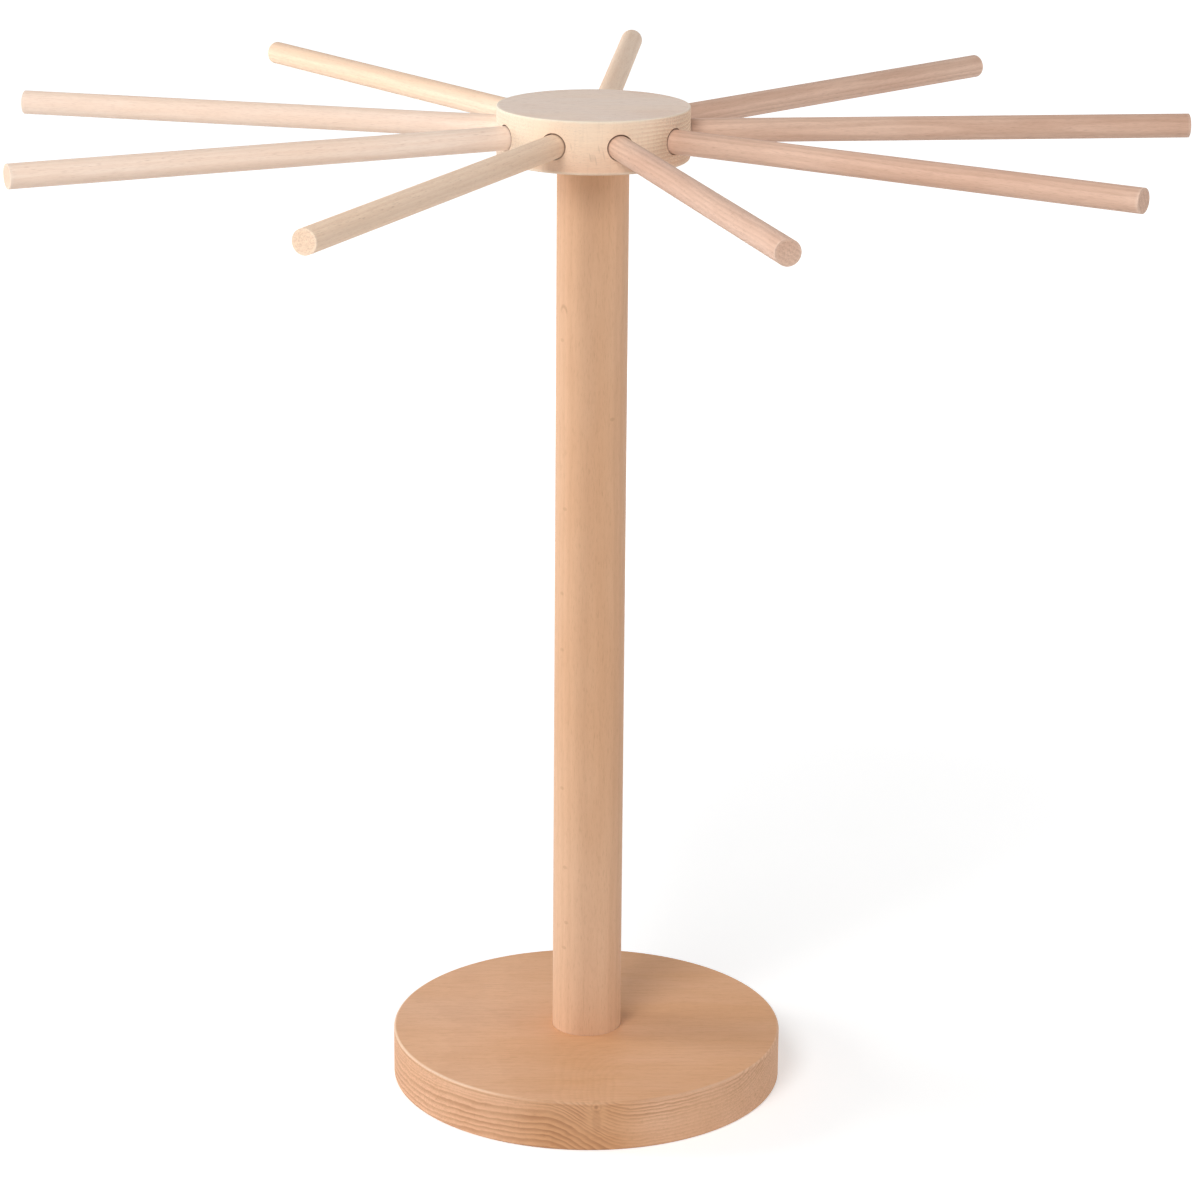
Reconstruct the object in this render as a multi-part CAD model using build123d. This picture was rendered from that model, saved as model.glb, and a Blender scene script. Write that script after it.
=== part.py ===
from build123d import *
import os
from math import radians, sin

# A wooden drying rack. A post stands in a round base, and a round hub turns on
# top of the post. Straight rods push into sockets round the hub's rim, like
# the spokes of a wheel, and draw out again for storage.
# The origin is the centre of the base's underside. +Z is up, and -Y is the front.
# Lengths are in millimetres and angles in degrees.

# Base
base_diameter = 170
base_thickness = 22
base_edge_round = 1
post_seat_depth = 4
base_floor = 4

# Post
post_diameter = 30
post_length = 390
post_end_chamfer = 0.5

# Hub
hub_diameter = 80
hub_thickness = 22
hub_top_round = 0.5
hub_bottom_round = 1.2
hub_roof = 7
socket_wall = 2.4

# Rods
rod_count = 9
first_rod_angle = 5
rod_diameter = 10
rod_reach = 250
rod_end_chamfer = 0.6

# Pivot pin between the post and the hub
pivot_diameter = 8
pivot_seat_depth = 22
pivot_end_chamfer = 0.8

# Threaded stud between the base and the post, and the sleeve that it screws into
stud_diameter = 8
stud_core_diameter = 6.6
stud_fine_pitch = 1.25
stud_coarse_pitch = 2.5
stud_reach = 15
sleeve_diameter = 12
sleeve_length = 18
sleeve_flange_diameter = 16
sleeve_flange_thickness = 1.5

# Clearances, each on the radius or at one end
seat_clearance = 0.1
thread_clearance = 0.1
press_clearance = 0.02
running_clearance = 0.05
socket_clearance = 0.3
end_clearance = 0.3

# A cut runs past the face that it opens by this much
cut_overrun = 1

# Radii and levels that follow from the sizes above
base_radius = base_diameter / 2
post_radius = post_diameter / 2
hub_radius = hub_diameter / 2
rod_radius = rod_diameter / 2
pivot_radius = pivot_diameter / 2
stud_radius = stud_diameter / 2
sleeve_radius = sleeve_diameter / 2
sleeve_flange_radius = sleeve_flange_diameter / 2

post_foot_z = base_thickness - post_seat_depth
post_top_z = post_foot_z + post_length
hub_top_z = post_top_z + hub_thickness
rod_level_z = post_top_z + hub_thickness / 2

# Neighbouring sockets come closest at their inner ends, where socket_wall of
# wood is left between them
rod_step = 360 / rod_count
socket_radius = rod_radius + socket_clearance
socket_floor_radius = (2 * socket_radius + socket_wall) / (2 * sin(radians(rod_step / 2)))

# The stud's coarse end goes down into the base, and its fine end up into the sleeve
stud_foot_z = base_floor + end_clearance
stud_top_z = post_foot_z + stud_reach
pivot_foot_z = post_top_z - pivot_seat_depth
pivot_bore_top_z = hub_top_z - hub_roof
pivot_top_z = pivot_bore_top_z - end_clearance


def upright(radius, low, high):
    """A cylinder round the Z axis from one level to another."""
    stand = (Align.CENTER, Align.CENTER, Align.MIN)
    return Pos(0, 0, low) * Cylinder(radius, high - low, align=stand)


def rim(solid, level):
    """The outermost round edge of a turned piece at one level."""
    edges = solid.edges().filter_by(GeomType.CIRCLE)
    flat = edges.filter_by_position(Axis.Z, level, level)
    return flat.sort_by(SortBy.RADIUS)[-1]


def threaded(core_radius, crest_radius, low, high, pitch):
    """A turned rod with a row of thread crests, about one pitch apart."""
    crests = max(1, round((high - low) / pitch))
    step = (high - low) / crests
    outline = [(0, 0, low), (core_radius, 0, low)]
    for crest in range(crests):
        foot = low + crest * step
        outline.append((crest_radius, 0, foot + step / 2))
        outline.append((core_radius, 0, foot + step))
    outline.append((0, 0, high))
    return revolve(make_face(Polyline(*outline, close=True)), Axis.Z)


def base_disc():
    """The round base, with a shallow seat for the post and a hole for the stud."""
    disc = upright(base_radius, 0, base_thickness)
    disc = fillet(rim(disc, base_thickness), base_edge_round)
    disc = fillet(rim(disc, 0), base_edge_round)
    seat = upright(post_radius + seat_clearance, post_foot_z, base_thickness + cut_overrun)
    hole = upright(stud_radius + thread_clearance, base_floor, post_foot_z + cut_overrun)
    return disc - seat - hole


def post():
    """The turned post, bored for the sleeve at its foot and the pivot pin at its top."""
    turned = upright(post_radius, post_foot_z, post_top_z)
    turned = chamfer(rim(turned, post_top_z), post_end_chamfer)
    turned = chamfer(rim(turned, post_foot_z), post_end_chamfer)
    below = post_foot_z - cut_overrun
    flange_seat = upright(
        sleeve_flange_radius + press_clearance, below, post_foot_z + sleeve_flange_thickness
    )
    sleeve_bore = upright(sleeve_radius + press_clearance, below, post_foot_z + sleeve_length)
    pivot_bore = upright(pivot_radius + press_clearance, pivot_foot_z, post_top_z + cut_overrun)
    return turned - flange_seat - sleeve_bore - pivot_bore


def threaded_sleeve():
    """The metal sleeve pressed into the post's foot, flush with its end."""
    barrel = upright(sleeve_radius, post_foot_z, post_foot_z + sleeve_length)
    flange = upright(sleeve_flange_radius, post_foot_z, post_foot_z + sleeve_flange_thickness)
    bore = upright(
        stud_radius + thread_clearance,
        post_foot_z - cut_overrun,
        post_foot_z + sleeve_length + cut_overrun,
    )
    return barrel + flange - bore


def base_stud():
    """The double-ended stud: coarse crests in the base, fine crests in the sleeve."""
    core = stud_core_diameter / 2
    coarse = threaded(core, stud_radius, stud_foot_z, post_foot_z, stud_coarse_pitch)
    fine = threaded(core, stud_radius, post_foot_z, stud_top_z, stud_fine_pitch)
    return coarse + fine


def pivot_pin():
    """The smooth pin pressed into the post's top, on which the hub turns."""
    pin = upright(pivot_radius, pivot_foot_z, pivot_top_z)
    return chamfer(pin.edges().filter_by(GeomType.CIRCLE), pivot_end_chamfer)


def rod(number, radius, inner, outer):
    """A cylinder along one of the hub's spokes, between two distances from the axis."""
    lying = Cylinder(radius, outer - inner, align=(Align.CENTER, Align.CENTER, Align.MIN))
    spoke = Pos(inner, 0, rod_level_z) * Rot(0, 90, 0) * lying
    return Rot(0, 0, first_rod_angle + number * rod_step) * spoke


def hub_disc():
    """The turned hub, with a blind bore below and a ring of blind sockets in its rim."""
    disc = upright(hub_radius, post_top_z, hub_top_z)
    disc = fillet(rim(disc, hub_top_z), hub_top_round)
    disc = fillet(rim(disc, post_top_z), hub_bottom_round)
    bore_low = post_top_z - cut_overrun
    disc -= upright(pivot_radius + running_clearance, bore_low, pivot_bore_top_z)
    for number in range(rod_count):
        disc -= rod(number, socket_radius, socket_floor_radius, hub_radius + cut_overrun)
    return disc


def hanging_rod(number):
    """One straight rod, from just clear of its socket's floor to its outer tip."""
    plain = rod(number, rod_radius, socket_floor_radius + end_clearance, rod_reach)
    return chamfer(plain.edges().filter_by(GeomType.CIRCLE), rod_end_chamfer)


pieces = {
    "base_disc": base_disc(),
    "base_stud": base_stud(),
    "threaded_sleeve": threaded_sleeve(),
    "post": post(),
    "pivot_pin": pivot_pin(),
    "hub_disc": hub_disc(),
}
for number in range(rod_count):
    pieces[f"rod_{number + 1}"] = hanging_rod(number)

os.makedirs("parts", exist_ok=True)
for name, piece in pieces.items():
    export_step(piece, f"parts/{name}.step")

print("overall height", hub_top_z)
print("socket depth", round(hub_radius - socket_floor_radius, 2))
print("rod length", round(rod_reach - socket_floor_radius - end_clearance, 2))
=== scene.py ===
import bpy
from math import atan2, cos, pi, radians, sin
from mathutils import Matrix, Vector


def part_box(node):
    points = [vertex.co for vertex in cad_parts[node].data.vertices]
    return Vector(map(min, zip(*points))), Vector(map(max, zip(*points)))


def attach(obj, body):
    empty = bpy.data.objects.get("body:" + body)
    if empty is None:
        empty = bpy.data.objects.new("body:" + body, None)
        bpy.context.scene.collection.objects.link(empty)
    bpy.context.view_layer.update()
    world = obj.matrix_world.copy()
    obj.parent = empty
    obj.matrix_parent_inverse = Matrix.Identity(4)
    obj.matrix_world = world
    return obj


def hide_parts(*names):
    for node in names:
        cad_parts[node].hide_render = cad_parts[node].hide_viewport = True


# A beech drying rack: a round base, a turned post, and a hub with dowels in its rim.
# Objects are in metres. The wood's grain is worked out in millimetres.

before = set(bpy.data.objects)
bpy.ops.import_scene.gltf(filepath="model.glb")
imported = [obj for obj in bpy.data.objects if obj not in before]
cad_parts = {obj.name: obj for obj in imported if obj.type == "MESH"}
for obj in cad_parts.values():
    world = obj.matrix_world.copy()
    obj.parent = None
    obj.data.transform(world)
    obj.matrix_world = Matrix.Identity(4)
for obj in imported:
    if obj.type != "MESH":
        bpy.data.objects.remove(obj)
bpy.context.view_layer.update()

# Millimetres in a metre
MM = 1000.0

base_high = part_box("base_disc")[1]
post_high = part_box("post")[1]
hub_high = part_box("hub_disc")[1]

base_radius = base_high.x * MM
base_top = base_high.z * MM
post_top = post_high.z * MM
hub_radius = hub_high.x * MM
hub_top = hub_high.z * MM

dowel_names = sorted(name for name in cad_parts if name.startswith("rod_"))
dowel_low, dowel_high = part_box(dowel_names[0])
dowel_radius = (dowel_high.z - dowel_low.z) / 2
dowel_level = (dowel_high.z + dowel_low.z) / 2
spoke_step = 2 * pi / len(dowel_names)


def spoke_angle(name):
    """The angle of a dowel's spoke round the post, in radians."""
    low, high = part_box(name)
    return atan2(low.y + high.y, low.x + high.x)


def spoke_ends(name):
    """How far from the post's axis a dowel starts and stops."""
    angle = spoke_angle(name)
    spoke = Vector((cos(angle), sin(angle), 0.0))
    distances = [corner.co.dot(spoke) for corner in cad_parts[name].data.vertices]
    return min(distances), max(distances)


dowel_reach = spoke_ends(dowel_names[0])[1]


# Node maths

class Field:
    """A number that varies over a surface. Python's arithmetic adds Math nodes to it."""

    def __init__(self, nodes, socket):
        self.nodes = nodes
        self.socket = socket

    def maths(self, operation, first, second=0.0):
        node = self.nodes.add("ShaderNodeMath", {"operation": operation}, {0: first, 1: second})
        return Field(self.nodes, node.outputs[0])

    def __add__(self, other):
        return self.maths("ADD", self, other)

    def __radd__(self, other):
        return self.maths("ADD", other, self)

    def __sub__(self, other):
        return self.maths("SUBTRACT", self, other)

    def __rsub__(self, other):
        return self.maths("SUBTRACT", other, self)

    def __mul__(self, other):
        return self.maths("MULTIPLY", self, other)

    def __rmul__(self, other):
        return self.maths("MULTIPLY", other, self)

    def __truediv__(self, other):
        return self.maths("DIVIDE", self, other)

    def __pow__(self, other):
        return self.maths("POWER", self, other)

    def __neg__(self):
        return self.maths("MULTIPLY", self, -1.0)

    def __abs__(self):
        return self.maths("ABSOLUTE", self)

    def fraction(self):
        return self.maths("FRACT", self)

    def sine(self):
        return self.maths("SINE", self)

    def cosine(self):
        return self.maths("COSINE", self)

    def least(self, other):
        return self.maths("MINIMUM", self, other)

    def most(self, other):
        return self.maths("MAXIMUM", self, other)

    def above(self, other):
        return self.maths("GREATER_THAN", self, other)

    def angle_from(self, other):
        return self.maths("ARCTAN2", self, other)

    def rise(self, low, high):
        """Goes smoothly from 0 at low to 1 at high."""
        node = self.nodes.add(
            "ShaderNodeMapRange",
            {"interpolation_type": "SMOOTHSTEP"},
            {"Value": self, "From Min": low, "From Max": high},
        )
        return Field(self.nodes, node.outputs[0])

    def fall(self, low, high):
        """Goes smoothly from 1 at low to 0 at high."""
        return 1.0 - self.rise(low, high)


class Nodes:
    """A node tree, and the few ways in which nodes are added to it."""

    def __init__(self, tree):
        self.tree = tree
        tree.nodes.clear()

    def add(self, kind, settings, sockets):
        node = self.tree.nodes.new(kind)
        for name, value in settings.items():
            setattr(node, name, value)
        for name, value in sockets.items():
            if isinstance(value, Field):
                value = value.socket
            if isinstance(value, bpy.types.NodeSocket):
                self.tree.links.new(value, node.inputs[name])
            else:
                node.inputs[name].default_value = value
        return node

    def split(self, vector):
        parts = self.add("ShaderNodeSeparateXYZ", {}, {"Vector": vector}).outputs
        return [Field(self, part) for part in parts]

    def join(self, x, y, z):
        return self.add("ShaderNodeCombineXYZ", {}, {"X": x, "Y": y, "Z": z}).outputs["Vector"]

    def turned(self, vector, turn, scale=1.0):
        sockets = {"Vector": vector, "Rotation": turn, "Scale": (scale, scale, scale)}
        return self.add("ShaderNodeMapping", {"vector_type": "POINT"}, sockets).outputs["Vector"]

    def noise(self, x, y, z, detail=2.0, roughness=0.5):
        """Soft cloudy noise from 0 to 1, with patches about one unit across."""
        sockets = {"Vector": self.join(x, y, z), "Scale": 1.0, "Detail": detail, "Roughness": roughness}
        node = self.add("ShaderNodeTexNoise", {"noise_dimensions": "3D"}, sockets)
        return Field(self, node.outputs[0])

    def cells(self, x, y, z):
        """Points scattered about one to a unit: how far the nearest is, and its random number."""
        sockets = {"Vector": self.join(x, y, z), "Scale": 1.0, "Randomness": 1.0}
        node = self.add("ShaderNodeTexVoronoi", {"feature": "F1"}, sockets)
        chance = self.add("ShaderNodeSeparateColor", {}, {0: node.outputs["Color"]})
        return Field(self, node.outputs["Distance"]), Field(self, chance.outputs[0])

    def mix(self, share, first, second):
        """A colour between two colours."""
        sockets = {0: share, 6: first, 7: second}
        return self.add("ShaderNodeMix", {"data_type": "RGBA"}, sockets).outputs[2]


def new_finish(name):
    """An empty material and its nodes."""
    material = bpy.data.materials.new(name)
    material.use_nodes = True
    return material, Nodes(material.node_tree)


# Beech

# One board's colours: the pale and the warm wood between its rings, the late wood that
# ends each ring, the flecks of its rays, and the pale colour of painted light on edges and lit sides
CREAM = {
    "pale": (0.95, 0.71, 0.51, 1.0),
    # Greyer than the pale colour, and on the hub's top it paints the white room's sheen
    "warm": (0.90, 0.74, 0.63, 1.0),
    "late": (0.68, 0.36, 0.20, 1.0),
    # So dark that it also paints the shade in the gaps round the dowels
    "fleck": (0.16, 0.07, 0.04, 1.0),
    "painted_light": (0.97, 0.86, 0.70, 1.0),
}
BLUSH = {
    "pale": (0.98, 0.80, 0.67, 1.0),
    "warm": (0.97, 0.75, 0.60, 1.0),
    "late": (0.78, 0.52, 0.38, 1.0),
    "fleck": (0.46, 0.26, 0.18, 1.0),
    "painted_light": (0.96, 0.85, 0.74, 1.0),
}
PEACH = {
    "pale": (0.97, 0.75, 0.57, 1.0),
    "warm": (0.95, 0.69, 0.49, 1.0),
    "late": (0.70, 0.43, 0.28, 1.0),
    "fleck": (0.38, 0.20, 0.12, 1.0),
    "painted_light": (0.96, 0.82, 0.68, 1.0),
}
ROSY = {
    "pale": (0.80, 0.55, 0.42, 1.0),
    "warm": (0.71, 0.45, 0.33, 1.0),
    "late": (0.38, 0.20, 0.12, 1.0),
    "fleck": (0.27, 0.13, 0.08, 1.0),
    "painted_light": (0.86, 0.68, 0.56, 1.0),
}
HONEY = {
    "pale": (0.81, 0.53, 0.35, 1.0),
    "warm": (0.71, 0.41, 0.235, 1.0),
    "late": (0.42, 0.20, 0.10, 1.0),
    "fleck": (0.30, 0.13, 0.06, 1.0),
    "painted_light": (0.94, 0.74, 0.56, 1.0),
}
TOFFEE = {
    "pale": (0.87, 0.54, 0.35, 1.0),
    "warm": (0.72, 0.39, 0.20, 1.0),
    "late": (0.42, 0.18, 0.08, 1.0),
    "fleck": (0.30, 0.12, 0.05, 1.0),
    "painted_light": (0.96, 0.78, 0.60, 1.0),
}

# How far the rings wander along the grain, in millimetres
RING_WANDER = 3.0
# The room that each ray takes across the rings, round them and along the grain, in millimetres
RAY_SIZE = (7.0, 0.85, 5.0)
# How strongly the pores, and the specks of cut ends, darken the wood
PORE_SHARE = 0.16
SPECK_SHARE = 0.3
# How much the grain is felt, and its depth in metres
GRAIN_RELIEF = 0.3
GRAIN_DEPTH = 0.00012


class Board:
    """Where a point lies in a piece of beech, in millimetres, and how it faces."""

    def __init__(self, wood, grain_turn):
        self.wood = wood
        coordinates = wood.add("ShaderNodeTexCoord", {}, {}).outputs
        place = coordinates["Object"]
        self.x, self.y, self.z = wood.split(wood.turned(place, (0, 0, 0), MM))
        self.radius = (self.x * self.x + self.y * self.y) ** 0.5
        # The grain runs along the first of these three
        self.along, self.across, self.up = wood.split(wood.turned(place, grain_turn, MM))
        # 1 where the surface cuts squarely across the grain
        facing = wood.split(wood.turned(coordinates["Normal"], grain_turn))
        self.end_grain = abs(facing[0]).rise(0.45, 0.9)


def rings_round(pith_across, pith_up):
    """Growth rings round a tree's centre beside the piece: the place across them and along them."""
    distance = (pith_across * pith_across + pith_up * pith_up) ** 0.5

    def rings(board):
        side = board.across - pith_across
        lift = board.up - pith_up
        return (side * side + lift * lift) ** 0.5, side.angle_from(lift) * distance

    return rings


def beech(
    name, tone, rings, grain_turn=(0, 0, 0), seed=0.0, ring_width=2.2, ring_share=0.25, ray_share=0.3,
    fibre_share=0.2, gloss=0.4, warmth=None, painted_shade=None, ring_fade=None, marks=None, painted_light=None,
):
    """Sanded beech. A share says how strongly one feature of the grain colours the wood."""
    material, wood = new_finish(name)
    board = Board(wood, grain_turn)
    along, across, up = board.along, board.across, board.up

    # Rings that wander slowly along the grain, darkest just before each one ends
    ring_place, round_ring = rings(board)
    wander = wood.noise(along * 0.012 + seed, across * 0.05, up * 0.05, 1.0) * RING_WANDER
    ring_place = ring_place + wander
    uneven = wood.noise(ring_place * 0.21, seed + 3.1, 0.0, 1.0)
    ring = (ring_place / ring_width + uneven * 1.2).fraction()
    late = ring.rise(0.15, 0.8) * ring.fall(0.86, 1.0) * (0.45 + uneven)
    if ring_fade is not None:
        late = late * ring_fade(board)

    # Rays: dashes where the cut lies along the rings, and flecks where it crosses them
    ray_place = (ring_place / RAY_SIZE[0], round_ring / RAY_SIZE[1], along / RAY_SIZE[2] + seed)
    ray_distance, ray_chance = wood.cells(*ray_place)
    rays = ray_distance.fall(0.05, 0.38) * ray_chance.rise(0.2, 0.9) * (1.0 - board.end_grain)

    # Long fibres, fine pores, and slow drifts of colour
    fibres = wood.noise(along * 0.06, across * 0.9, up * 0.9 + seed, 3.0, 0.6)
    pores = wood.noise(along * 0.30, across * 3.4, up * 3.4 + seed, 1.0).rise(0.55, 0.75)
    drift = wood.noise(along * 0.010 + seed, across * 0.035, up * 0.035, 2.0)

    # Cut ends show the pores as specks
    specks = wood.noise(across * 1.7, up * 1.7, seed, 3.0, 0.65).rise(0.42, 0.68) * board.end_grain

    warm = drift.rise(0.3, 0.7)
    # Warmth carries painted light on the base's top and a painted sheen on the hub's top
    if warmth is not None:
        warm = (warm * 0.35 + warmth(board) * 0.8).least(1.0)
    colour = wood.mix(warm, tone["pale"], tone["warm"])
    # Painted shade: the hub's foot and the palest dowels' cut ends darken towards the late wood
    if painted_shade is not None:
        colour = wood.mix(painted_shade(board), colour, tone["late"])
    colour = wood.mix(fibres.rise(0.35, 0.8) * fibre_share, colour, tone["late"])
    colour = wood.mix(late * ring_share, colour, tone["late"])
    colour = wood.mix(rays * ray_share, colour, tone["fleck"])
    colour = wood.mix(pores * PORE_SHARE, colour, tone["fleck"])
    colour = wood.mix(specks * SPECK_SHARE, colour, tone["fleck"])
    height = fibres * 0.3 - late * 0.1 - pores * 0.5 - rays * 0.35 - specks * 0.4
    # Painted light: pale edges, highlights and lit sides
    if painted_light is not None:
        painted_light_share = painted_light(board) * (0.55 + 0.45 * fibres.rise(0.3, 0.7))
        colour = wood.mix(painted_light_share, colour, tone["painted_light"])
    # On the hub, the marks carry painted shade in the gaps round its dowels
    if marks is not None:
        marks_and_painted_shade = marks(board).least(1.0)
        colour = wood.mix(marks_and_painted_shade, colour, tone["fleck"])
        height = height - marks_and_painted_shade

    relief = wood.add(
        "ShaderNodeBump", {}, {"Strength": GRAIN_RELIEF, "Distance": GRAIN_DEPTH, "Height": height}
    )
    surface = wood.add(
        "ShaderNodeBsdfPrincipled",
        {},
        {
            "Base Color": colour,
            "Roughness": 0.46 + fibres * 0.14 + pores * 0.12 + board.end_grain * 0.1,
            "IOR": 1.5,
            "Specular IOR Level": gloss,
            "Normal": relief.outputs["Normal"],
        },
    )
    wood.add("ShaderNodeOutputMaterial", {}, {"Surface": surface.outputs["BSDF"]})
    return material


def spindle(first, second, centre, half_size):
    """A short soft-edged mark, such as a gum fleck, where two fields meet its centre."""
    wide = (first - centre[0]) / half_size[0]
    tall = (second - centre[1]) / half_size[1]
    return (wide * wide + tall * tall).fall(0.2, 1.0)


def corner_band(board, corner_radius, corner_height, width):
    """1 on a turned piece's edge, fading within width of it."""
    out = board.radius - corner_radius
    over = board.z - corner_height
    return (out * out + over * over).fall(0.0, width * width)


# The base's grain

# How the layers climb to the left, how far they drop past the knot, and where they crowd
LAYER_CLIMB = -0.05
LAYER_DROP = 17.0
CROWDED_ABOVE = 19.0
# Places on the front of the rim, from left to right and in height
KNOT = (3.0, 20.0)
KNOT_TAIL = (3.2, 13.5)
# How dark the knot's heart, the ring round it and the shade below it are
KNOT_HEART_SHARE = 0.5
KNOT_RING_SHARE = 0.14
KNOT_TAIL_SHARE = 0.16
# How much the rings fade in the rim's plain places and on its two sides, and how much they show on top
CORNER_PLAIN = 0.75
KNOT_PLAIN = 0.85
BAND_PLAIN = 0.75
LEFT_FAINT = 0.3
RIGHT_FAINT = 0.55
TOP_RINGS = 0.10
# How warm the left of the top is, and how much warmer the rest is: painted light leaves the lit left
# paler
TOP_WARMTH = 0.25
TOP_WARMER = 0.55
# How dark the turned line is, and how much darker on the left
LINE_SHARE = 0.10
LINE_LEFT_SHARE = 0.16
# How strongly the painted highlight shows along the top edge in places, and on the left
EDGE_HIGHLIGHT = 0.12
EDGE_HIGHLIGHT_LEFT = 0.45


def on_base_rim(board):
    """1 on the base's rim, and 0 on its top."""
    return board.radius.rise(base_radius - 1.2, base_radius - 0.4)


def base_rings(board):
    """Level layers that climb a little to the left, and drop past a knot at the front."""
    near_front = (-board.y).rise(8.0, 62.0)
    climb = board.x.least(-12.0) * LAYER_CLIMB
    drop = board.x.rise(-20.0, 18.0) * near_front * LAYER_DROP
    ripple = board.wood.noise(board.x * 0.16, board.y * 0.16, board.z * 0.3, 1.0) * 1.3
    level = board.z + climb + drop + ripple
    crowded = (level - CROWDED_ABOVE).most(0.0) * 0.75
    return level + crowded, board.y


def base_ring_fade(board):
    """The rings show on the rim, and hardly on the sanded top."""
    plain_corner = board.x.rise(4.0, 16.0) * board.z.fall(10.0, 18.0)
    plain_knot = spindle(board.x, board.z, (KNOT[0], KNOT[1] - 3.0), (5.8, 8.5))
    patchy = board.wood.noise(board.x * 0.05, board.y * 0.05, board.z * 0.12, 1.0).rise(0.3, 0.7)
    plain_band = (-board.x).rise(10.0, 30.0) * board.z.rise(15.5, 18.5)
    faint_sides = LEFT_FAINT * (-board.x).rise(30.0, 70.0) + RIGHT_FAINT * board.x.rise(22.0, 55.0)
    plain = (1.0 - CORNER_PLAIN * plain_corner) * (1.0 - KNOT_PLAIN * plain_knot)
    plain = plain * (1.0 - BAND_PLAIN * plain_band)
    shown = plain * (1.0 - faint_sides) * (0.6 + 0.4 * patchy)
    return TOP_RINGS + (1.0 - TOP_RINGS) * on_base_rim(board) * shown


def base_painted_light_and_warmth(board):
    """Painted light: the top is painted paler on the left, where the light falls, and warmer from the
    middle rightwards; the rim below the knot is warm too.
    """
    rim = on_base_rim(board)
    top = TOP_WARMTH + TOP_WARMER * board.x.rise(-64.0, -4.0)
    below_knot = board.x.rise(-46.0, -14.0) * board.x.fall(8.0, 34.0) * (-board.y).rise(0.0, 40.0)
    return top * (1.0 - rim) + rim * below_knot


def base_marks(board):
    """A small knot and the shade below it, and a fine turned line near the top edge."""
    front_rim = (-board.y).rise(base_radius - 4.0, base_radius - 1.5)
    side = board.x - KNOT[0]
    over = board.z - KNOT[1]
    from_knot = (side * side + over * over) ** 0.5
    heart = from_knot.fall(0.3, 1.2) * KNOT_HEART_SHARE
    ring = from_knot.rise(1.5, 1.9) * from_knot.fall(2.1, 2.7) * KNOT_RING_SHARE
    tail = spindle(board.x, board.z, KNOT_TAIL, (2.4, 6.5)) * KNOT_TAIL_SHARE
    below_edge = abs(board.z - (base_top - 1.5)).fall(0.1, 0.5)
    line = below_edge * board.radius.rise(base_radius - 1.0, base_radius - 0.3)
    line = line * (LINE_SHARE + LINE_LEFT_SHARE * (-board.x).rise(0.0, 50.0))
    return (heart + ring + tail) * front_rim + line


def base_painted_highlight(board):
    """Painted highlight: the top edge is painted pale in places, most of all on the left, where the light
    falls.
    """
    places = board.wood.noise(board.x * 0.04, board.y * 0.04, 0.0, 1.0).rise(0.25, 0.7)
    edge = corner_band(board, base_radius - 0.2, base_top - 0.2, 0.9)
    return edge * (EDGE_HIGHLIGHT * places + EDGE_HIGHLIGHT_LEFT * (-board.x).rise(25.0, 60.0))


# The post's grain

# The tree's centre, across the grain from the post's axis
POST_PITH = (80, 4)
# Each is an angle from the front, in degrees, and a height
GUM_FLECKS = (
    (-56.0, 333.0), (-47.0, 260.5), (-53.0, 223.0), (-52.0, 198.0), (-50.0, 135.5), (-42.0, 99.5),
    (-39.0, 74.0), (-43.0, 62.0), (35.0, 300.0), (110.0, 250.0), (-140.0, 180.0), (170.0, 330.0),
    (75.0, 60.0), (150.0, 120.0),
)
FLECK_SIZE = (6.0, 1.0)
FLECK_SHARE = 0.2
POST_EYE = (-52.5, 344.5)
EYE_SIZE = (7.0, 3.0)
EYE_SHARE = 0.3


def post_warmth(board):
    """The post pales towards its foot."""
    return board.z.rise(20.0, 190.0) * 0.75


def post_marks(board):
    """A few gum flecks, and a small eye high on the left."""
    swing = board.x.angle_from(-board.y) * (180.0 / pi)
    flecks = 0.0
    for centre in GUM_FLECKS:
        flecks = flecks + spindle(swing, board.z, centre, FLECK_SIZE) * FLECK_SHARE
    side = (swing - POST_EYE[0]) / EYE_SIZE[0]
    lift = (board.z - POST_EYE[1]) / EYE_SIZE[1]
    reach = (side * side + lift * lift) ** 0.5
    eye = reach.rise(0.6, 0.95) * reach.fall(1.0, 1.5) * lift.rise(-0.3, 0.6) * EYE_SHARE
    return flecks + eye


# The hub's grain

# The tree's centre, across the grain from the hub's axis and far below it
HUB_PITH = (0, -330)
# Each is a place from left to right, a height, and half a length
RIM_SPLITS = (
    (-9.5, 419.4, 1.7), (-1.9, 415.6, 2.2), (0.4, 414.2, 2.6), (1.6, 418.9, 2.0), (3.6, 416.4, 2.8),
    (-16.0, 421.0, 1.6), (-24.5, 416.0, 2.2),
)
SPLIT_SLANT = 0.22
SPLIT_HALF_WIDTH = 0.4
SPLIT_SHARE = 0.14
STREAK_SHARE = 0.05
# How far past a dowel's side the painted shade in its gap is full and ends, and how strong it is below
GAP_SHADE_FULL = 0.48
GAP_SHADE_END = 0.62
GAP_SHADE_BELOW = 0.25
# How much the rings show on the hub, and how much more on the right and the left of its rim
HUB_RINGS = 0.12
HUB_RINGS_RIGHT = 0.88
HUB_RINGS_LEFT = 0.45
# How much painted shade darkens the rim's foot, how much painted light pales its top and its left, and
# how pale its edges are
FOOT_SHADE_SHARE = 0.55
LIT_TOP_SHARE = 0.4
LIT_LEFT_SHARE = 0.5
PALE_EDGES_SHARE = 0.45


def hub_ring_fade(board):
    """The hub's layers show most where its rim turns across the grain."""
    right = board.x.rise(8.0, 28.0)
    left = (-board.x).rise(20.0, 38.0)
    return HUB_RINGS + HUB_RINGS_RIGHT * right + HUB_RINGS_LEFT * left


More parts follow.
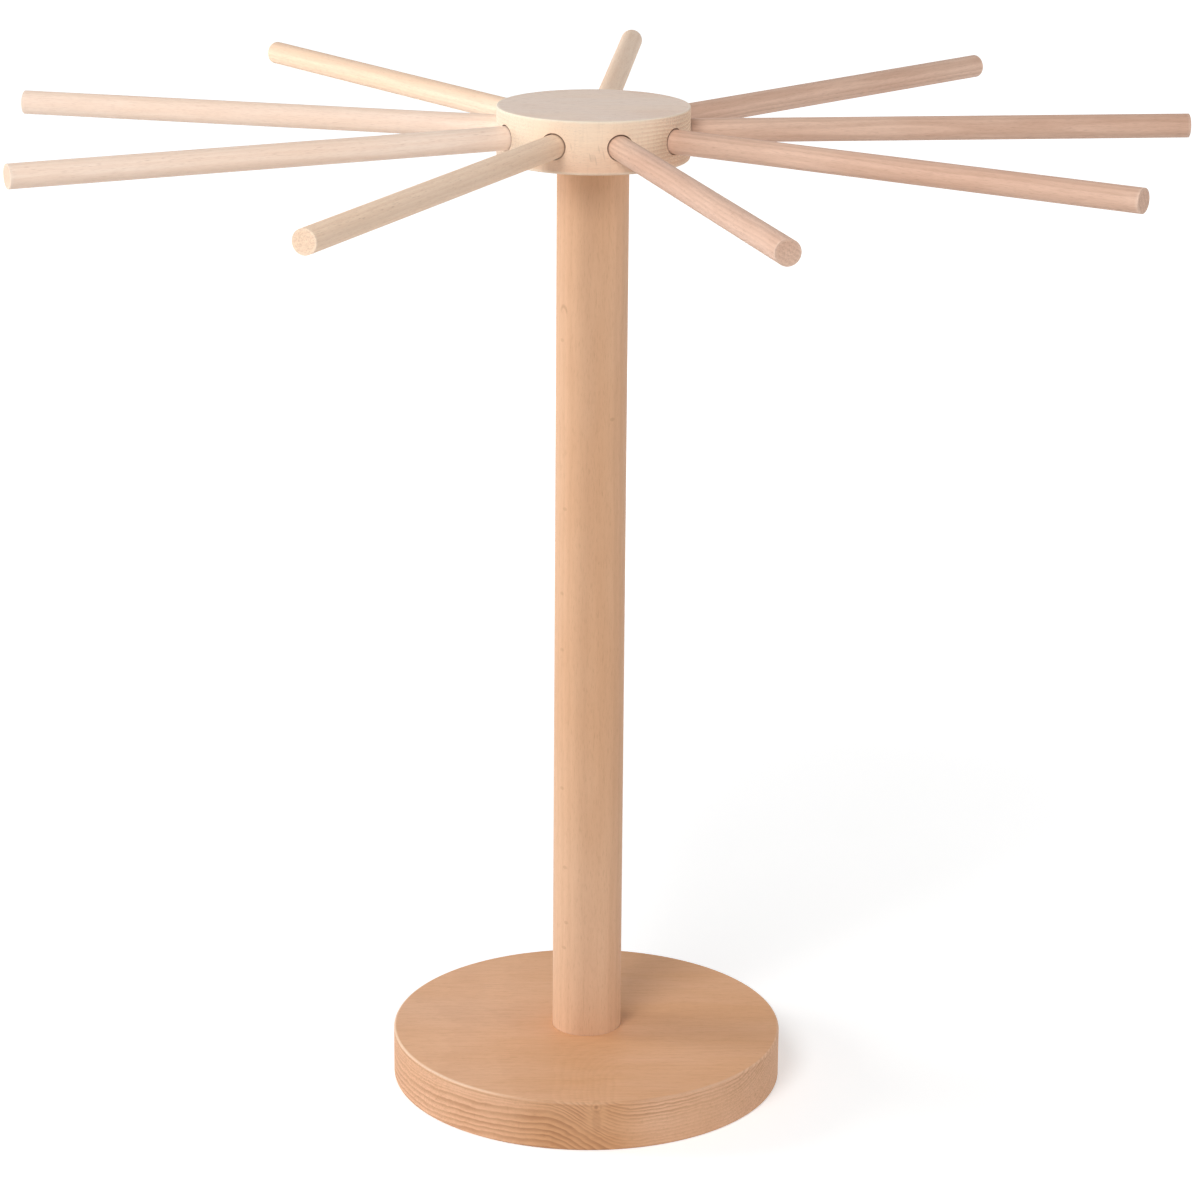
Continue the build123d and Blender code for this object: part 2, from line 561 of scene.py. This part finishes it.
def hub_painted_sheen(board):
    """Painted sheen: the top is painted greyer than the rim, standing in for the white room's sheen on
    it.
    """
    return board.z.rise(hub_top - 0.5, hub_top - 0.1)


def on_hub_rim(board):
    """1 on the hub's rim, and 0 on its top."""
    return board.radius.rise(hub_radius - 1.5, hub_radius - 0.5)


def hub_foot_shade(board):
    """Painted shade: the rim is painted darker towards its foot."""
    return on_hub_rim(board) * board.z.fall(post_top - 2.0, post_top + 15.0) * FOOT_SHADE_SHARE


def hub_marks(board):
    """Short upright splits in the front of the rim, and painted shade in the gap round each dowel,
    strongest above it.
    """
    splits = 0.0
    slanted = board.x + board.z * SPLIT_SLANT
    for side, height, half_length in RIM_SPLITS:
        centre = (side + height * SPLIT_SLANT, height)
        splits = splits + spindle(slanted, board.z, centre, (SPLIT_HALF_WIDTH, half_length)) * SPLIT_SHARE
    streaks = board.wood.noise(board.x * 0.9, board.y * 0.9, board.z * 0.1, 1.0).rise(0.5, 0.75)
    splits = (splits + streaks * STREAK_SHARE) * (-board.y).rise(0.0, 20.0)
    turn = board.y.angle_from(board.x) - spoke_angle(dowel_names[0])
    steps = turn / spoke_step + len(dowel_names) + 0.5
    beside = board.radius * ((steps.fraction() - 0.5) * spoke_step)
    over = board.z - dowel_level * MM
    from_dowel = (beside * beside + over * over) ** 0.5
    gap_shade = from_dowel.fall(dowel_radius * MM + GAP_SHADE_FULL, dowel_radius * MM + GAP_SHADE_END)
    return splits + gap_shade * (GAP_SHADE_BELOW + (1.0 - GAP_SHADE_BELOW) * over.rise(-3.6, 1.6))


def hub_painted_light(board):
    """Painted light: the rim is painted paler on the left and near its top, where the light falls, and
    both edges are paler too.
    """
    edges = corner_band(board, hub_radius, hub_top, 1.3) + corner_band(board, hub_radius, post_top, 1.6)
    lit_side = (-board.x).rise(8.0, 36.0) * LIT_LEFT_SHARE
    upper = board.z.rise(post_top + 6.0, hub_top) * board.x.fall(6.0, 30.0) * LIT_TOP_SHARE
    return (edges * PALE_EDGES_SHARE + lit_side.most(upper) * on_hub_rim(board)).least(1.0)


# Dowels

# Painted light: the dowels on the left and at the back get paler tones than the rest, standing in for the
# stronger light on that side
PAINTED_LIGHT_DOWEL_TONES = {"rod_3": PEACH, "rod_4": PEACH, "rod_5": BLUSH, "rod_6": BLUSH, "rod_7": PEACH}
# How much the palest of them darken at their cut ends: painted shade against the left lamp, partly end
# grain
BLUSH_END_SHADE = 0.8
# How far each dowel is from its tree's centre, and how that centre turns from dowel to dowel
PITH_DISTANCE = 70
PITH_TURN = 2.4
# The first dowel's place in the noise, and the step from one dowel to the next
DOWEL_SEED = 11.0
SEED_STEP = 5.3
# The round of a dowel's edges, in metres
EASED_END = 0.0009
EASING_STEPS = 6
DOWEL_SIDES = 64
# How strongly the painted highlight shows on the outer end's rim
END_HIGHLIGHT = 0.3


def blush_end_shade(board):
    """Painted shade, partly end grain: the palest dowels' cut ends, which face the left lamp, are painted
    deeper than their sides.
    """
    return board.end_grain * BLUSH_END_SHADE


def dowel_painted_highlight(board):
    """Painted highlight: the rim of the rounded outer end, painted pale."""
    over = board.z - dowel_level * MM
    from_axis = (board.across * board.across + over * over) ** 0.5
    outer_end = board.radius.rise(dowel_reach * MM - 1.4, dowel_reach * MM - 0.5)
    return outer_end * from_axis.rise(dowel_radius * MM - 1.1, dowel_radius * MM - 0.4) * END_HIGHLIGHT


def dowel_tree():
    """Geometry nodes for one dowel: a round bar along a spoke, with eased ends."""
    tree = bpy.data.node_groups.new("dowel", "GeometryNodeTree")
    nodes = Nodes(tree)
    for name in ("Radius", "Inner end", "Outer end", "Eased", "Level", "Angle"):
        tree.interface.new_socket(name, in_out="INPUT", socket_type="NodeSocketFloat")
    tree.interface.new_socket("Sides", in_out="INPUT", socket_type="NodeSocketInt")
    tree.interface.new_socket("Finish", in_out="INPUT", socket_type="NodeSocketMaterial")
    tree.interface.new_socket("Geometry", in_out="OUTPUT", socket_type="NodeSocketGeometry")
    given = nodes.add("NodeGroupInput", {}, {}).outputs
    radius = Field(nodes, given["Radius"])
    inner = Field(nodes, given["Inner end"])
    outer = Field(nodes, given["Outer end"])
    eased = Field(nodes, given["Eased"])

    # The bar's sections crowd together at both ends, where a quarter round eases the edge
    sections = 2 * (EASING_STEPS + 1)
    index = Field(nodes, nodes.add("GeometryNodeInputIndex", {}, {}).outputs[0])
    from_end = index.least(sections - 1 - index)
    swing = from_end * (pi / 2 / EASING_STEPS)
    inset = eased * (1.0 - swing.cosine())
    slimmer = eased * (1.0 - swing.sine())
    outer_half = index.above(EASING_STEPS + 0.5)
    along = (inner + inset) * (1.0 - outer_half) + (outer - inset) * outer_half

    line = nodes.add(
        "GeometryNodeCurvePrimitiveLine", {},
        {"Start": nodes.join(inner, 0.0, 0.0), "End": nodes.join(outer, 0.0, 0.0)},
    )
    points = nodes.add(
        "GeometryNodeResampleCurve", {"mode": "COUNT"}, {"Curve": line.outputs[0], "Count": sections}
    )
    placed = nodes.add(
        "GeometryNodeSetPosition", {},
        {"Geometry": points.outputs[0], "Position": nodes.join(along, 0.0, given["Level"])},
    )
    sized = nodes.add(
        "GeometryNodeSetCurveRadius", {},
        {"Curve": placed.outputs[0], "Radius": (radius - slimmer) / radius},
    )
    outline = nodes.add(
        "GeometryNodeCurvePrimitiveCircle", {}, {"Resolution": given["Sides"], "Radius": radius}
    )
    bar = nodes.add(
        "GeometryNodeCurveToMesh", {},
        {"Curve": sized.outputs[0], "Profile Curve": outline.outputs[0], "Fill Caps": True},
    )
    turned = nodes.add(
        "GeometryNodeTransform", {},
        {"Geometry": bar.outputs[0], "Rotation": nodes.join(0.0, 0.0, given["Angle"])},
    )
    smooth = nodes.add("GeometryNodeSetShadeSmooth", {}, {"Geometry": turned.outputs[0]})
    real = nodes.add("GeometryNodeRealizeInstances", {}, {"Geometry": smooth.outputs[0]})
    finished = nodes.add(
        "GeometryNodeSetMaterial", {}, {"Geometry": real.outputs[0], "Material": given["Finish"]}
    )
    nodes.add("NodeGroupOutput", {}, {"Geometry": finished.outputs[0]})
    return tree


def make_dowel(tree, name, finish):
    """One dowel as a plain mesh, in place of its CAD node."""
    inner, outer = spoke_ends(name)
    sizes = {
        "Radius": dowel_radius, "Inner end": inner, "Outer end": outer, "Eased": EASED_END,
        "Level": dowel_level, "Angle": spoke_angle(name), "Sides": DOWEL_SIDES, "Finish": finish,
    }
    maker = bpy.data.objects.new("dowel_maker", bpy.data.meshes.new("dowel_maker"))
    bpy.context.scene.collection.objects.link(maker)
    modifier = maker.modifiers.new("dowel", "NODES")
    modifier.node_group = tree
    for item in tree.interface.items_tree:
        if item.in_out == "INPUT":
            modifier[item.identifier] = sizes[item.name]
    graph = bpy.context.evaluated_depsgraph_get()
    mesh = bpy.data.meshes.new_from_object(maker.evaluated_get(graph))
    bpy.data.objects.remove(maker)
    piece = bpy.data.objects.new(f"{name}_dowel", mesh)
    bpy.context.scene.collection.objects.link(piece)
    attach(piece, name)
    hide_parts(name)


# Metal

STUD_STEEL = (0.60, 0.60, 0.62, 1.0)
PIN_STEEL = (0.64, 0.64, 0.66, 1.0)
BRASS = (0.78, 0.58, 0.27, 1.0)
SMUDGE_SHADE = 0.72
GROOVE_RELIEF = 0.2
GROOVE_DEPTH = 0.00005


def metal(name, colour, roughness, groove_width):
    """Turned metal with fine grooves round the upright axis, and dull smudges."""
    material, nodes = new_finish(name)
    place = nodes.add("ShaderNodeTexCoord", {}, {}).outputs["Object"]
    x, y, z = nodes.split(nodes.turned(place, (0, 0, 0), MM))
    grooves = nodes.noise(0.0, 0.0, z / groove_width)
    smudges = nodes.noise(x * 0.3, y * 0.3, z * 0.3, 3.0)
    relief = nodes.add(
        "ShaderNodeBump", {}, {"Strength": GROOVE_RELIEF, "Distance": GROOVE_DEPTH, "Height": grooves}
    )
    dull = tuple(part * SMUDGE_SHADE for part in colour[:3]) + (1.0,)
    surface = nodes.add(
        "ShaderNodeBsdfPrincipled",
        {},
        {
            "Base Color": nodes.mix(smudges.rise(0.4, 0.75), colour, dull),
            "Metallic": 1.0,
            "Roughness": roughness + smudges * 0.15,
            "Normal": relief.outputs["Normal"],
        },
    )
    nodes.add("ShaderNodeOutputMaterial", {}, {"Surface": surface.outputs["BSDF"]})
    return material


# Every piece gets its finish

def dress(node_name, finish):
    """Gives a CAD node its finish."""
    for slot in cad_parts[node_name].material_slots:
        slot.material = finish


dress("base_disc", beech(
    "base_beech", TOFFEE, base_rings, seed=1.7, ring_width=2.85, ring_share=0.7, ray_share=0.1,
    fibre_share=0.15, gloss=0.25, warmth=base_painted_light_and_warmth, ring_fade=base_ring_fade, marks=base_marks,
    painted_light=base_painted_highlight,
))
dress("post", beech(
    "post_beech", HONEY, rings_round(*POST_PITH), grain_turn=(0, radians(90), 0), seed=4.2,
    ring_width=2.4, ring_share=0.08, ray_share=0.1, fibre_share=0.1, gloss=0.3, warmth=post_warmth,
    marks=post_marks,
))
dress("hub_disc", beech(
    "hub_beech", CREAM, rings_round(*HUB_PITH), seed=7.9, ring_width=1.5, ring_share=0.42,
    ray_share=0.12, warmth=hub_painted_sheen, painted_shade=hub_foot_shade, ring_fade=hub_ring_fade, marks=hub_marks,
    painted_light=hub_painted_light,
))
dowel_nodes = dowel_tree()
for number, name in enumerate(dowel_names):
    tree_side = number * PITH_TURN
    pith_across = PITH_DISTANCE * cos(tree_side)
    pith_up = dowel_level * MM + PITH_DISTANCE * sin(tree_side)
    tone = PAINTED_LIGHT_DOWEL_TONES.get(name, ROSY)
    make_dowel(dowel_nodes, name, beech(
        f"{name}_beech", tone, rings_round(pith_across, pith_up), grain_turn=(0, 0, -spoke_angle(name)),
        seed=DOWEL_SEED + SEED_STEP * number, ring_width=1.9, ring_share=0.2, ray_share=0.38,
        painted_shade=blush_end_shade if tone is BLUSH else None, painted_light=dowel_painted_highlight,
    ))
dress("base_stud", metal("stud_steel", STUD_STEEL, roughness=0.34, groove_width=0.3))
dress("pivot_pin", metal("pin_steel", PIN_STEEL, roughness=0.28, groove_width=0.2))
dress("threaded_sleeve", metal("sleeve_brass", BRASS, roughness=0.32, groove_width=0.3))


# Camera

CAMERA_PLACE = (-0.0248, -1.5376, 0.6895)
CAMERA_TILT = radians(17.067)
CAMERA_TURN = radians(1.023)
CAMERA_ROLL = radians(0.476)
SENSOR_WIDTH_MM = 36.0
LENS_MM = 112.98


def place_camera():
    camera = bpy.data.objects.new("camera", bpy.data.cameras.new("camera"))
    bpy.context.scene.collection.objects.link(camera)
    camera.data.sensor_width = SENSOR_WIDTH_MM
    camera.data.lens = LENS_MM
    forward = Vector((
        sin(CAMERA_TURN) * cos(CAMERA_TILT), cos(CAMERA_TURN) * cos(CAMERA_TILT), -sin(CAMERA_TILT),
    ))
    level = Vector((cos(CAMERA_TURN), -sin(CAMERA_TURN), 0.0))
    lifted = level.cross(forward)
    right = level * cos(CAMERA_ROLL) + lifted * sin(CAMERA_ROLL)
    upward = lifted * cos(CAMERA_ROLL) - level * sin(CAMERA_ROLL)
    turn = Matrix((right, upward, -forward)).transposed().to_4x4()
    camera.matrix_world = Matrix.Translation(CAMERA_PLACE) @ turn
    bpy.context.scene.camera = camera


# Light and floor

WHITE = (1.0, 1.0, 1.0, 1.0)
FLOOR_WHITE = (0.88, 0.88, 0.88, 1.0)
LAMP_AIM = Vector((0.0, 0.0, 0.25))
LAMP_DISTANCE = 1.7
LAMP_WIDTH = 0.8


def soft_lamp(name, from_front, above, watts):
    """A round soft lamp on the rack, from an angle round it and an angle above the level."""
    turn = radians(from_front)
    lift = radians(above)
    way = Vector((sin(turn) * cos(lift), -cos(turn) * cos(lift), sin(lift)))
    lamp = bpy.data.objects.new(name, bpy.data.lights.new(name, "AREA"))
    bpy.context.scene.collection.objects.link(lamp)
    lamp.data.shape = "DISK"
    lamp.data.size = LAMP_WIDTH
    lamp.data.energy = watts
    lamp.location = LAMP_AIM + way * LAMP_DISTANCE
    lamp.rotation_euler = way.to_track_quat("Z", "Y").to_euler()


def seen_directly(nodes):
    """1 for what the camera or a reflection sees, and 0 for light that spreads."""
    path = nodes.add("ShaderNodeLightPath", {}, {})
    camera = Field(nodes, path.outputs["Is Camera Ray"])
    glossy = Field(nodes, path.outputs["Is Glossy Ray"])
    clear = Field(nodes, path.outputs["Is Transmission Ray"])
    return camera.most(glossy).most(clear)


def light_world(strength):
    """A white room: full white to the eye, and a plain soft light on the rack."""
    world = bpy.data.worlds.new("studio")
    world.use_nodes = True
    bpy.context.scene.world = world
    nodes = Nodes(world.node_tree)
    seen = seen_directly(nodes)
    glow = nodes.add(
        "ShaderNodeBackground", {}, {"Color": WHITE, "Strength": seen + (1.0 - seen) * strength}
    )
    nodes.add("ShaderNodeOutputWorld", {}, {"Surface": glow.outputs[0]})


def lay_floor(half_width, near_glow, far_glow):
    """A white floor that keeps the rack's shadow: it glows more where the lamps don't reach."""
    mesh = bpy.data.meshes.new("floor")
    corners = [(-1, -1), (1, -1), (1, 1), (-1, 1)]
    mesh.from_pydata([(x * half_width, y * half_width, 0.0) for x, y in corners], [], [(0, 1, 2, 3)])
    floor = bpy.data.objects.new("floor", mesh)
    bpy.context.scene.collection.objects.link(floor)
    material, nodes = new_finish("floor_white")
    matt = nodes.add("ShaderNodeBsdfDiffuse", {}, {"Color": FLOOR_WHITE})
    x, y, _ = nodes.split(nodes.add("ShaderNodeTexCoord", {}, {}).outputs["Object"])
    away = ((x * x + y * y) ** 0.5).rise(0.1, 1.3)
    glow = nodes.add(
        "ShaderNodeEmission",
        {},
        {"Color": near_glow + away * (far_glow - near_glow), "Strength": seen_directly(nodes)},
    )
    both = nodes.add("ShaderNodeAddShader", {}, {0: matt.outputs[0], 1: glow.outputs[0]})
    nodes.add("ShaderNodeOutputMaterial", {}, {"Surface": both.outputs[0]})
    mesh.materials.append(material)


bpy.context.scene.view_settings.view_transform = "Standard"
place_camera()
light_world(strength=0.30)
lay_floor(half_width=12.0, near_glow=0.38, far_glow=0.85)
soft_lamp("left_lamp", from_front=-100, above=12, watts=13.9)
soft_lamp("front_lamp", from_front=-25, above=38, watts=14.8)
soft_lamp("right_lamp", from_front=80, above=12, watts=6.2)
